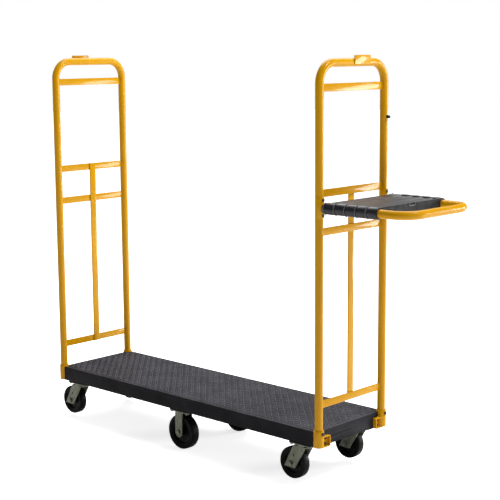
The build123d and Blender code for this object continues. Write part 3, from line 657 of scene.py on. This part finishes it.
tray_pillows()
tray_rib_lines()
tray_pull()
softened("shelf_tray", 0.0011, segments=3)
for side in SIDES:
    softened(f"{side}_hinge_bracket", 0.0008)
softened("hinge_bracket_bolts", 0.0006)
softened("shelf_bumper", 0.0004)


# ---- stage, light and camera ----------------------------------------------------------------
def make_floor():
    """A wide pale disc with a faint mottle. It glows, more with the distance from the cart, and more
    again where the camera sees it directly, so that the ground fades to white."""
    steps, radii = 96, (4.0, 12.0, 30.0)
    near_glow, far_glow, camera_glow = 0.14, 0.66, 0.62
    angle = np.arange(steps) * TURN / steps
    points = [(r * math.cos(a), r * math.sin(a), 0.0) for r in radii for a in angle]
    faces = grid_faces(len(radii), steps, close_columns=True, flip=True)
    faces.append(list(range(steps)))
    mesh = bpy.data.meshes.new("floor")
    mesh.from_pydata(points, [], faces)
    floor = bpy.data.objects.new("floor", mesh)
    bpy.context.collection.objects.link(floor)
    material, tree, shader = new_material("pale_floor", (0.93, 0.93, 0.93), 0.7)
    shade = remap(tree, noise(tree, 3.0, 3.0), 0.3, 0.7, 0.0, 1.0)
    tree.links.new(blend_colours(tree, shade, (0.92, 0.92, 0.92), (0.94, 0.94, 0.94)),
                   shader.inputs["Base Color"])
    place = tree.nodes.new("ShaderNodeTexCoord")
    reach = tree.nodes.new("ShaderNodeVectorMath")
    reach.operation = "LENGTH"
    tree.links.new(place.outputs["Object"], reach.inputs[0])
    glow = remap(tree, reach.outputs["Value"], 0.6, 3.6, near_glow, far_glow)
    shader.inputs["Emission Color"].default_value = WHITE
    path = tree.nodes.new("ShaderNodeLightPath")
    lift = tree.nodes.new("ShaderNodeMath")
    lift.operation = "MULTIPLY_ADD"
    tree.links.new(path.outputs["Is Camera Ray"], lift.inputs[0])
    lift.inputs[1].default_value = camera_glow
    tree.links.new(glow, lift.inputs[2])
    tree.links.new(lift.outputs[0], shader.inputs["Emission Strength"])
    mesh.materials.append(material)


def soft_light(name, place, target, size, power):
    """A square white area light aimed at a point, its side in metres and its power in watts."""
    lamp = bpy.data.lights.new(name, "AREA")
    lamp.shape = "SQUARE"
    lamp.size = size
    lamp.energy = power
    obj = bpy.data.objects.new(name, lamp)
    bpy.context.collection.objects.link(obj)
    direction = np.array(target) - np.array(place)
    obj.location = place
    yaw = math.atan2(direction[1], direction[0])
    drop = math.acos(-direction[2] / np.linalg.norm(direction))
    obj.rotation_euler = (drop, 0, yaw - math.pi / 2)
    obj.visible_camera = False


def make_light():
    """White surroundings that the camera sees at full strength and the cart only weakly, and three lamps:
    a low window off the shelf end's back corner, one high off the shelf end and a wide one overhead."""
    world = bpy.data.worlds.new("studio")
    bpy.context.scene.world = world
    world.use_nodes = True
    sky = world.node_tree.nodes["Background"]
    sky.inputs["Color"].default_value = WHITE
    sky.inputs["Strength"].default_value = 0.165
    seen = world.node_tree.nodes.new("ShaderNodeBackground")
    seen.inputs["Color"].default_value = WHITE
    seen.inputs["Strength"].default_value = 1.0
    path = world.node_tree.nodes.new("ShaderNodeLightPath")
    pick = world.node_tree.nodes.new("ShaderNodeMixShader")
    links = world.node_tree.links
    links.new(path.outputs["Is Camera Ray"], pick.inputs["Fac"])
    links.new(sky.outputs["Background"], pick.inputs[1])
    links.new(seen.outputs["Background"], pick.inputs[2])
    links.new(pick.outputs["Shader"], world.node_tree.nodes["World Output"].inputs["Surface"])
    soft_light("window", (3.35, 5.05, 1.25), (0.5, 0, 0.9), 1.9, 235.0)
    soft_light("side", (3.0, 0.9, 4.8), (0.6, 0, 0.7), 1.6, 170.0)
    soft_light("top", (-1.2, 1.8, 4.6), (0, 0, 0.2), 4.2, 280.0)


def make_camera():
    """A long lens that looks down on the cart from off the shelf end's front corner, rolled a little
    about its own axis: look = (cos yaw cos pitch, sin yaw cos pitch, -sin pitch)."""
    sensor_mm, lens_mm = 36.0, 91.55
    right_of_deck, ahead_of_deck, above_deck = 3.7522, -3.7336, 1.4278
    yaw, pitch, roll = np.radians([133.324, 8.982, -0.377])
    deck, _ = middle("deck")
    deck_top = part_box("deck")[1][2]
    camera = bpy.data.cameras.new("camera")
    camera.sensor_width = sensor_mm
    camera.lens = lens_mm
    obj = bpy.data.objects.new("camera", camera)
    bpy.context.collection.objects.link(obj)
    obj.location = (deck[0] + right_of_deck, ahead_of_deck, deck_top + above_deck)
    obj.rotation_mode = "XYZ"
    look = np.array([math.cos(yaw) * math.cos(pitch), math.sin(yaw) * math.cos(pitch), -math.sin(pitch)])
    right = np.array([math.sin(yaw), -math.cos(yaw), 0.0])
    up = np.cross(right, look)
    level = right * math.cos(roll) + up * math.sin(roll)
    rise = up * math.cos(roll) - right * math.sin(roll)
    obj.rotation_euler = mathutils.Matrix(np.stack([level, rise, -look], axis=1).tolist()).to_euler("XYZ")
    bpy.context.scene.camera = obj


make_floor()
make_light()
make_camera()
bpy.context.scene.view_settings.view_transform = "Standard"
